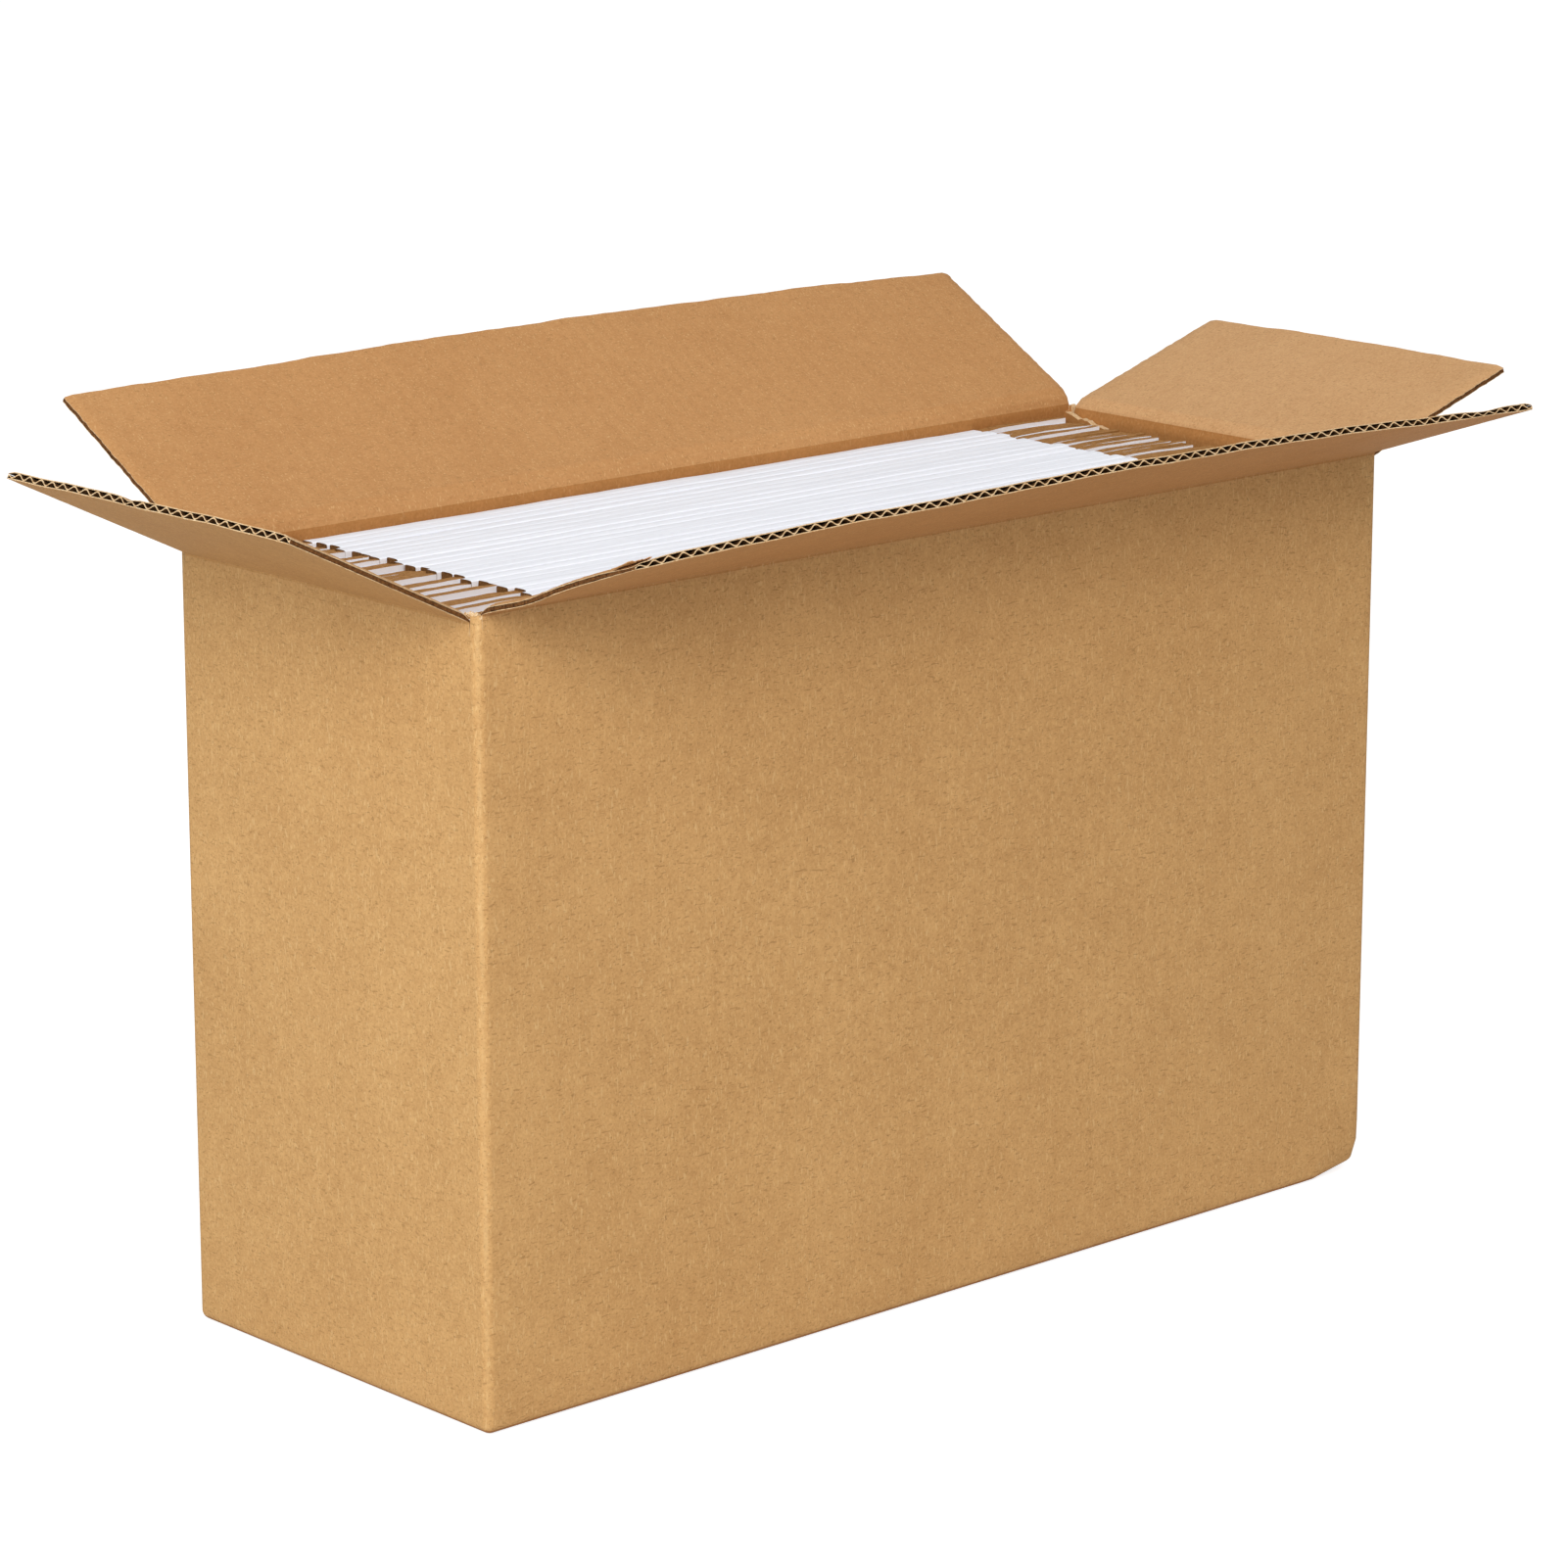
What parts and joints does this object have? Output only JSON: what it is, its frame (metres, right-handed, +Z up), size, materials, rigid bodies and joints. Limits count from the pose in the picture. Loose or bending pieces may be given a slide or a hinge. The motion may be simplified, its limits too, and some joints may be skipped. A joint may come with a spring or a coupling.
{
  "type": "shipping box",
  "caption": "Open corrugated shipping box with four hinged lid flaps, packed upright with flat folded white cartons.",
  "frame": {"origin": "on the underside, at the middle of the base, where the part rests", "axes": "+X along the long side to the right, the front panel faces -Y, +Z up out of the open mouth"},
  "size_m": [0.5894, 0.3101, 0.327],
  "materials": {
    "kraft_board": "matte brown kraft liner on a corrugated medium",
    "white_board": "smooth white liner outside, brown kraft inside"
  },
  "bodies": {
    "carton": {"carton_body": "kraft_board", "flat_carton_01": "white_board", "flat_carton_02": "white_board", "flat_carton_03": "white_board", "flat_carton_04": "white_board", "flat_carton_05": "white_board", "flat_carton_06": "white_board", "flat_carton_07": "white_board", "flat_carton_08": "white_board", "flat_carton_09": "white_board", "flat_carton_10": "white_board", "flat_carton_11": "white_board", "flat_carton_12": "white_board", "flat_carton_13": "white_board", "flat_carton_14": "white_board", "flat_carton_15": "white_board", "flat_carton_16": "white_board", "flat_carton_17": "white_board", "flat_carton_18": "white_board", "flat_carton_19": "white_board", "flat_carton_20": "white_board", "flat_carton_21": "white_board", "flat_carton_22": "white_board", "flat_carton_23": "white_board", "flat_carton_24": "white_board", "flat_carton_25": "white_board"},
    "front_flap": {"front_flap": "kraft_board"},
    "back_flap": {"back_flap": "kraft_board"},
    "left_flap": {"left_flap": "kraft_board"},
    "right_flap": {"right_flap": "kraft_board"}
  },
  "joints": [
    {"name": "front_flap_fold", "type": "hinge", "parent": "carton", "child": "front_flap", "pos_m": [0, -0.0815, 0.2845], "axis": [1, 0, 0], "range_deg": [-161, 79]},
    {"name": "back_flap_fold", "type": "hinge", "parent": "carton", "child": "back_flap", "pos_m": [0, 0.0815, 0.2845], "axis": [-1, 0, 0], "range_deg": [-150, 90]},
    {"name": "left_flap_fold", "type": "hinge", "parent": "carton", "child": "left_flap", "pos_m": [-0.2195, 0, 0.2814], "axis": [0, -1, 0], "range_deg": [-154, 86]},
    {"name": "right_flap_fold", "type": "hinge", "parent": "carton", "child": "right_flap", "pos_m": [0.2195, 0, 0.2814], "axis": [0, 1, 0], "range_deg": [-162.5, 77.5]}
  ]
}
